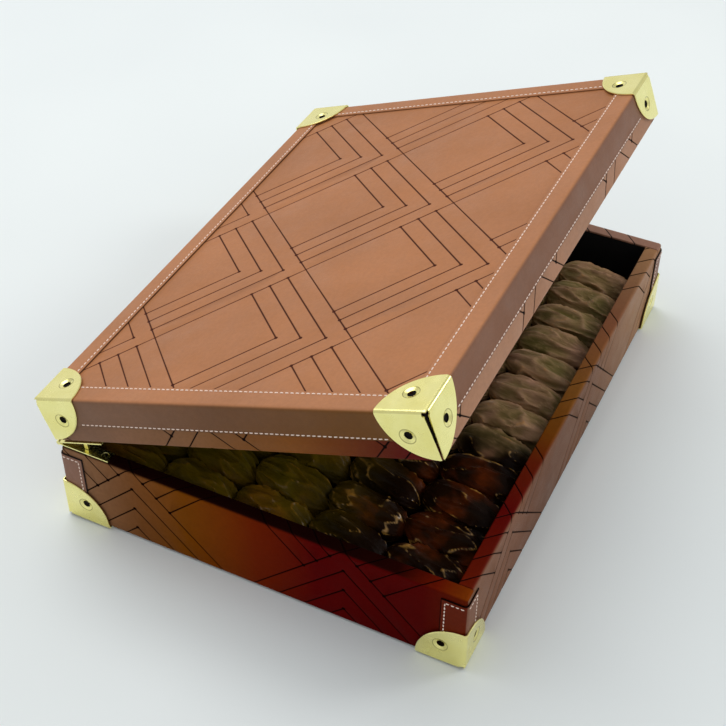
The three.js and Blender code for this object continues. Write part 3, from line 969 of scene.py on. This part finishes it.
def shaded_corner(along, position):
    """1 within the strip at a wall's end that a brass seam lays open, where shade is painted,
    partly as dark edge paint.
    """
    return np.clip((np.abs(position) - (along - SEAM_SHADE)) / (SEAM_SHADE - SEAM_CORE), 0, 1)


def lid_edging():
    for (axis, side), wall in SIDES.items():
        along = EDGE_HALF[1] if axis == "x" else EDGE_HALF[0]
        hole_shades, lines = [], []
        for end in (-1, 1):
            # Painted shade under the holes of the brass corners.
            for over in (-HOLE_SHADE_FROM_EDGE, HOLE_SHADE_FROM_EDGE):
                hole_shades.append(((end * (along - HOLE_SHADE_FROM_EDGE), over), HOLE_SHADE_RADIUS))
            for inwards in (SEAM_CORE, SEAM_SHADE):
                x = end * (along - inwards)
                lines.append(((x, -edging.drop - 1), (x, edging.reach + 1)))
        mesh, flat = edging.sheet(axis, side, (), hole_shades, (), lines)
        # Under each brass seam: painted shade, partly dark edge paint.
        seam = shaded_corner(along, flat.points[:, 0]) * (flat.points[:, 1] < 0)
        # The edging's rims: dark edge paint, and a painted shadow of the step.
        ink = np.maximum(np.maximum(flat.ink, flat.edge * EDGE_PAINT_AND_SHADE[wall]), seam)
        finish = own_or(f"edging_{wall}", "edging")
        leather_piece(f"lid_{wall}_edging", "lid", finish, mesh, ink, rim_share(flat))


# ---- Corner patches of the base.


def patch_flat(height):
    outline = [(-PATCH_WIDTH, 0), (PATCH_WIDTH, 0), (PATCH_WIDTH, height), (-PATCH_WIDTH, height)]
    folds = []
    for step in rounding_steps(PATCH_RADIUS):
        for sign in (-1, 1):
            folds.append(((sign * step, -1), (sign * step, height + 1)))
    # Painted shade under the holes of the base's brass corners.
    hole_shades = [((sign * HOLE_SHADE_FROM_EDGE, HOLE_SHADE_FROM_EDGE), HOLE_SHADE_RADIUS) for sign in (-1, 1)]
    return flat_sheet(outline, folds, dots=hole_shades, lip=PATCH_LIP)


def patch_place(sx, sy, half, floor):
    """Where a point of a patch goes. It bends round the corner, and half is the corner's place."""

    def place(round_corner, up, depth):
        past = tucked(np.abs(round_corner), depth, PATCH_RADIUS)
        x = np.where(round_corner < 0, depth, past)
        y = np.where(round_corner < 0, past, depth)
        sharp = np.stack((sx * (half[0] - x), sy * (half[1] - y), floor + up), axis=1)
        return rounded(sharp, half, -FAR, FAR, PATCH_RADIUS)

    return place


def corner_patches():
    for sx, sy, corner in CORNERS:
        node = f"base_{corner}_patch"
        low, high = box_of(node)
        flat = patch_flat(high.z - low.z)
        mesh = folded(flat, patch_place(sx, sy, reach_of(low, high), low.z), PATCH)
        # Painted shade on the front left patch.
        finish = "dark_patch" if corner == "front_left" else "patch"
        # Dark edges round each patch: edge paint, and a painted shadow of its step.
        ink = np.maximum(flat.ink, flat.edge)
        leather_piece(node, "base", finish, mesh, ink, flat.points[:, 0] > 0)


# ---- Stitches.


def stitch_shape():
    """A short fat thread end to end, dipping into the leather at both ends."""
    mirrored = [(-along, width, lift) for along, width, lift in (STITCH_END, STITCH_SHOULDER)]
    rings = (*mirrored, STITCH_MIDDLE, STITCH_SHOULDER, STITCH_END)
    points = []
    for along, width, lift in rings:
        for i in range(STITCH_SIDES):
            angle = 2 * math.pi * i / STITCH_SIDES
            x = along * STITCH_LENGTH
            y = math.cos(angle) * width * STITCH_WIDTH / 2
            points.append((x, y, (math.sin(angle) * width + lift) * STITCH_HEIGHT))
    faces = tube_faces(len(rings), STITCH_SIDES)
    faces.append(tuple(reversed(range(STITCH_SIDES))))
    faces.append(tuple(range(len(points) - STITCH_SIDES, len(points))))
    return np.array(points), faces


def stitch_run(start, end, normal, pitch=STITCH_PITCH):
    """One straight row of stitches, from start to end."""
    shape, faces = stitch_shape()
    start, end, normal = Vector(start), Vector(end), Vector(normal)
    along = (end - start).normalized()
    count = max(1, round((end - start).length / pitch))
    step = (end - start).length / count
    scale = np.array([pitch / STITCH_PITCH, 1, 1])
    basis = np.array([along, normal.cross(along), normal])
    rng = random.Random(round(start.x * 7 + start.y * 13 + start.z * 17))
    stitches = []
    for i in range(count):
        middle = np.array(start + along * (i + 0.5) * step)
        tilt = rng.uniform(*STITCH_TILT)
        turn = np.array(
            [[math.cos(tilt), math.sin(tilt), 0], [-math.sin(tilt), math.cos(tilt), 0], [0, 0, 1]]
        )
        stitches.append((shape * scale @ turn @ basis + middle, faces))
    return joined(stitches)


def stitch_piece(name, runs, body, slot):
    make_piece(name, *joined(runs), body, finishes["thread"], slot, sharp=60)


def lid_stitches():
    for (axis, side), wall in SIDES.items():
        across = "xy".index(axis)
        along = 1 - across
        normal = [0, 0, 0]
        normal[across] = side
        runs = []
        for inwards, down, out in ((TOP_ROW, 0, (0, 0, 1)), (0, SIDE_ROW, normal)):
            ends = []
            for end in (-1, 1):
                place = [0, 0, LID_TOP - down]
                place[across] = side * (EDGE_HALF[across] - inwards)
                place[along] = end * (EDGE_HALF[along] - LID_ROW_END)
                ends.append(place)
            runs.append(stitch_run(*ends, out))
        stitch_piece(f"lid_{wall}_stitches", runs, "lid", "lid_leather")


def patch_stitches():
    for sx, sy, corner in CORNERS:
        low, high = box_of(f"base_{corner}_patch")
        x, y = (sign * reach for sign, reach in zip((sx, sy), reach_of(low, high)))
        bottom, top = PATCH_ROW_LOW, high.z - PATCH_ROW_TOP
        inner_x, inner_y = x - sx * PATCH_ROW, y - sy * PATCH_ROW
        near_x, near_y = x - sx * PATCH_ROW_END, y - sy * PATCH_ROW_END
        rows = [
            ((x, inner_y, bottom), (x, inner_y, top), (sx, 0, 0)),
            ((x, inner_y, top), (x, near_y, top), (sx, 0, 0)),
            ((inner_x, y, bottom), (inner_x, y, top), (0, sy, 0)),
            ((inner_x, y, top), (near_x, y, top), (0, sy, 0)),
        ]
        runs = [stitch_run(*row, PATCH_STITCH_PITCH) for row in rows]
        stitch_piece(f"base_{corner}_stitches", runs, "base", "base_leather")


# ---- Brass corners. The shape's box lies towards +X, +Y and +Z from the corner point. Both
# edges of its Z leaf are folded, and the edge along Z is an open seam.


def leaf_outline(seam):
    """A leaf's outline, and the part of it that is its rim."""
    arc = [math.pi / 2 * i / ARC_STEPS for i in range(ARC_STEPS + 1)]
    rim = [(CORNER_RADIUS * math.cos(a), CORNER_RADIUS * math.sin(a)) for a in arc]
    if seam:
        tip = SEAM[0][0]
        rim = [p for p in rim if p[0] > tip + SEAM_CLEARANCE]
        rim.append((tip, math.sqrt(CORNER_RADIUS**2 - tip**2)))
        outline = [*rim, *SEAM[1:]]
    else:
        outline = [*rim, (0, 0)]
    return [(max(x, 0.0), max(y, 0.0)) for x, y in outline], rim


def leaf_flat(seam):
    """One leaf as (points, triangles, outer heights, inner heights, darkness), where the darkness
    is a line of painted shade round the dimple. Its first coordinate runs away from the edge that
    may be a seam, its second from a folded edge."""
    outline, rim = leaf_outline(seam)
    shrink = 1 - BRASS_BEVEL / CORNER_RADIUS
    inner_rim = [(x * shrink, y * shrink) for x, y in rim]
    lines = list(zip(inner_rim, inner_rim[1:]))
    for step in rounding_steps(FOLD_RADIUS, 6)[1:]:
        lines.append(((step, -1), (step, CORNER_RADIUS + 1)))
        lines.append(((-1, step), (CORNER_RADIUS + 1, step)))
    hole = (CORNER_HOLE, CORNER_HOLE)
    wide = DIMPLE_RADIUS - HOLE_RADIUS
    radii = [HOLE_RADIUS + wide * share for share in (0.33, 0.67, 1)]
    radii += [DIMPLE_RADIUS - DIMPLE_LINE, DIMPLE_RADIUS + DIMPLE_LINE]
    cut, *rings = (ring(hole, radius, HOLE_SIDES) for radius in (HOLE_RADIUS, *radii))
    points, triangles = triangulate(
        [outline, cut, *rings], lines, [], lambda p: inside(p, outline) and not inside(p, cut)
    )
    away = np.linalg.norm(points - np.array(hole), axis=1)
    dip = np.clip((DIMPLE_RADIUS - away) / wide, 0, 1)
    from_rim = np.clip(1 - (CORNER_RADIUS - np.linalg.norm(points, axis=1)) / BRASS_BEVEL, 0, 1)
    outer = SHEET_BRASS - dip * DIMPLE_DROP - from_rim * BRASS_BEVEL
    # The line of painted shade round the dimple.
    line = np.clip(1 - np.abs(away - DIMPLE_RADIUS) / DIMPLE_LINE, 0, 1)
    return points, triangles, outer, -dip * UNDER_DROP, line


def folded_leaf(points, heights, axes):
    """Leaf points, sharp, with their heights, rounded at the folds. axes gives which of X, Y
    and Z the two coordinates and the leaf's normal are."""
    sharp = np.zeros((len(points), 3))
    sharp[:, axes[0]] = points[:, 0]
    sharp[:, axes[1]] = points[:, 1]
    core = np.maximum(sharp, FOLD_RADIUS)
    out = core - sharp
    out /= np.linalg.norm(out, axis=1)[:, None]
    return core - out * (FOLD_RADIUS + heights)[:, None]


def brass_shape():
    """The whole corner as one closed mesh, with the leaves welded at both folds."""
    plain, seamed = leaf_flat(False), leaf_flat(True)
    leaves = [(plain, (0, 1)), (seamed, (1, 2)), (seamed, (0, 2))]
    points, ink, faces, index = [], [], [], {}

    def vertex(p, darkness):
        key = tuple(round(float(c), 3) for c in p)
        if key not in index:
            index[key] = len(points)
            points.append(p)
            ink.append(darkness)
        return index[key]

    borders = {}
    for (flat, triangles, outer, inner, line), axes in leaves:
        mirrored = axes != (0, 2)
        top = [vertex(*pair) for pair in zip(folded_leaf(flat, outer, axes), line)]
        under = [vertex(*pair) for pair in zip(folded_leaf(flat, inner, axes), line)]
        for a, b, c in triangles:
            order = (c, b, a) if mirrored else (a, b, c)
            faces.append(tuple(top[i] for i in order))
            faces.append(tuple(under[i] for i in reversed(order)))
        for a, b in border_of(triangles):
            if mirrored:
                a, b = b, a
            borders[(top[a], top[b])] = (under[a], under[b])
    for (a, b), (c, d) in borders.items():
        if (b, a) not in borders:
            faces.append((b, a, c, d))
    faces = [f for f in faces if len(set(f)) == len(f)]
    return np.array(points), faces, ink


def brass_corners():
    shape = brass_shape()
    for sx, sy, corner in CORNERS:
        x, y = (-sx, 0, 0), (0, -sy, 0)
        place_brass(shape, "lid", corner, (sx, sy, 1), [x, y, (0, 0, -1)])
        place_brass(shape, "base", corner, (sx, sy, -1), [(0, 0, 1), x, y])


def place_brass(shape, body, corner, signs, inward):
    """Puts the shape at a corner. signs says which corner of the box it is, and inward the
    way that each of the shape's axes runs there."""
    points, faces, ink = shape
    node = f"{body}_{corner}_brass_corner"
    low, high = closed_box(node) if body == "lid" else box_of(node)
    reach = (*reach_of(low, high), high.z if body == "lid" else -low.z)
    at = np.array([sign * (far - SHEET_BRASS) for sign, far in zip(signs, reach)])
    made = points @ np.array(inward, float) + at
    make_piece(
        f"{node}_shell", made, faces, body, finishes["brass"], "brass", [node], ink, sharp=19
    )


# ---- Dates.


def date_turn(rng, yaw_range):
    """How a date lies: its front end towards -X, and a little low."""
    yaw = Matrix.Rotation(math.radians(rng.uniform(*yaw_range)), 3, "Z")
    lean = Matrix.Rotation(math.radians(rng.uniform(*DATE_LEAN)), 3, "X")
    return yaw @ lean


def perlin(where):
    return noise.noise(where, noise_basis="PERLIN_ORIGINAL")


def ridge(where):
    """1 on the noise's creases, falling fast to both sides."""
    return (1 - abs(perlin(where))) ** 4


def wrinkles(where):
    """How far the skin stands out at a place in the noise, and how near a crest it is."""
    bent = where + noise.noise_vector(where * 1.1) * WRINKLE_BEND
    crest, small = ridge(bent), ridge(bent * 2.2)
    lump = LUMP_HEIGHT * perlin(where * 0.6)
    height = CREST_HEIGHT * crest + SMALL_CREST_HEIGHT * small + lump - SKIN_DROP
    return height, min(1.0, 0.8 * crest**3 + 0.3 * small**3)


def date_mesh(centre, size, seed, yaw_range):
    """One wrinkled date, lying along Y. size is its half sizes."""
    rng = random.Random(seed)
    shift = Vector([rng.uniform(-NOISE_SPAN, NOISE_SPAN) for _ in range(3)])
    turn = date_turn(rng, yaw_range)
    plump = rng.uniform(*DATE_PLUMPNESS)
    taper = rng.uniform(*DATE_TAPER)
    points, ink = [], []
    for j in range(DATE_ALONG + 1):
        t = -math.cos(math.pi * j / DATE_ALONG)
        along = Vector((0, t * WRINKLES_ALONG, 0))
        thick = max(0.0, 1 - abs(t) ** DATE_FULLNESS) ** 0.5 * (1 + taper * t)
        for i in range(DATE_AROUND):
            angle = 2 * math.pi * i / DATE_AROUND
            around = Vector((math.cos(angle), 0, math.sin(angle)))
            height, crest = wrinkles(around * WRINKLES_AROUND + along + shift)
            reach = thick * plump * (1 + height * min(1.0, thick * 2))
            local = Vector((around.x * reach * size[0], t * size[1], around.z * reach * size[2]))
            points.append(tuple(Vector(centre) + turn @ local))
            ink.append(1 - crest)
    return points, tube_faces(DATE_ALONG + 1, DATE_AROUND), ink


def joined_ends(points, faces, ink):
    """Pulls each date's two end rings into one point."""
    keep, order, index = [], {}, {}
    for i, p in enumerate(points):
        key = tuple(round(c, 4) for c in p)
        if key not in index:
            index[key] = len(keep)
            keep.append(i)
        order[i] = index[key]
    made = []
    for face in faces:
        merged = []
        for v in face:
            if order[v] not in merged:
                merged.append(order[v])
        if len(merged) > 2:
            made.append(tuple(merged))
    return [points[i] for i in keep], made, [ink[i] for i in keep]


def date_columns():
    noise.seed_set(NOISE_SEED)
    columns = sorted(n for n in frame["nodes"] if n.startswith("date_column"))
    for number, node in enumerate(columns):
        yaw_range = OTHER_YAW if number else FRONT_YAW
        low, high = box_of(node)
        pitch = (high.x - low.x) / DATE_ROWS
        deep, tall = (high.y - low.y) / 2, (high.z - low.z) / 2
        size = (pitch / 2 + DATE_SQUEEZE, deep + DATE_OVERLAP, tall)
        dates = []
        for row in range(DATE_ROWS):
            rng = random.Random(number * 100 + row)
            centre = (
                low.x + pitch * (row + 0.5),
                (low.y + high.y) / 2 + rng.uniform(-DATE_SHIFT, DATE_SHIFT),
                (low.z + high.z) / 2 - rng.uniform(0, DATE_DROP),
            )
            dates.append(joined_ends(*date_mesh(centre, size, number * 1000 + row, yaw_range)))
        ink = [darkness for date in dates for darkness in date[2]]
        name, finish = f"dates_{number + 1}", finishes["date"]
        make_piece(name, *joined(dates), "base", finish, "date_skin", [node], ink, sharp=60)


# ---- What stays as the frame has it: boards, linings and hinge hardware.


# The first row whose word is in a node's name gives its finish and bevel.
KEPT_NODES = (
    ("lining", "cloth", 0.3),
    ("card", "card", 0.3),
    ("cover", "card", 0.3),
    ("board", "board", 0.2),
    ("", "brass", 0.12),
)


def finish_frame_nodes():
    for name, node in frame["nodes"].items():
        if node.hide_render:
            continue
        finish, bevel = next(row[1:] for row in KEPT_NODES if row[0] in name)
        node.data.materials.clear()
        node.data.materials.append(finishes[finish])
        modifier = node.modifiers.new("soft_edges", "BEVEL")
        modifier.width = bevel * MM
        modifier.segments = 2
        modifier.limit_method = "ANGLE"
        modifier.angle_limit = math.radians(40)


# ---- Studio.


def studio_floor():
    line = [FLOOR_SIZE * (i / FLOOR_STEPS - 0.5) for i in range(FLOOR_STEPS + 1)]
    points = [(x, y, 0.0) for y in line for x in line]
    row = len(line)
    starts = [j * row + i for j in range(FLOOR_STEPS) for i in range(FLOOR_STEPS)]
    faces = [(a, a + 1, a + row + 1, a + row) for a in starts]
    mesh = bpy.data.meshes.new("floor")
    mesh.from_pydata(points, [], faces)
    mesh.materials.append(finishes["floor"])
    shown("floor", mesh)


def soft_light(name, place, size, power):
    light = bpy.data.lights.new(name, "AREA")
    light.shape = "DISK"
    light.size = size
    light.energy = power
    lamp = shown(name, light)
    lamp.location = place
    lamp.rotation_mode = "QUATERNION"
    lamp.rotation_quaternion = (LIT - Vector(place)).to_track_quat("-Z", "Y")


def studio_light():
    world = bpy.data.worlds.new("studio")
    world.use_nodes = True
    background = world.node_tree.nodes["Background"]
    background.inputs["Color"].default_value = (0.95, 0.97, 1.0, 1.0)
    background.inputs["Strength"].default_value = 0.6
    bpy.context.scene.world = world
    soft_light("overhead", (0.3, 0.9, 1.9), size=1.8, power=20)
    soft_light("fill", (1.3, -1.6, 1.4), size=0.8, power=10)
    soft_light("far_glow", (1.65, 1.7, 0.75), size=2.2, power=2.5)
    bpy.context.scene.view_settings.view_transform = "Standard"


def camera():
    yaw, pitch = math.radians(CAMERA_YAW), math.radians(CAMERA_PITCH)
    forward = Vector(
        (math.cos(pitch) * math.cos(yaw), math.cos(pitch) * math.sin(yaw), math.sin(pitch))
    )
    right = forward.cross(Vector((0, 0, 1))).normalized()
    up = right.cross(forward)
    level = Matrix((right, up, -forward)).transposed()
    turn = level @ Matrix.Rotation(math.radians(CAMERA_ROLL), 3, "Z")
    data = bpy.data.cameras.new("camera")
    data.lens = CAMERA_LENS
    data.sensor_width = 36
    data.clip_start = 0.01
    made = shown("camera", data)
    made.matrix_world = Matrix.Translation(Vector(CAMERA_PLACE) * MM) @ turn.to_4x4()
    bpy.context.scene.camera = made


camera()
studio_light()
studio_floor()
wall_leather("base", base_walls, BASE_NODES, -1)
wall_leather("lid", lid_walls, LID_NODES, 1)
lid_top_leather()
lid_edging()
corner_patches()
lid_stitches()
patch_stitches()
brass_corners()
date_columns()
finish_frame_nodes()
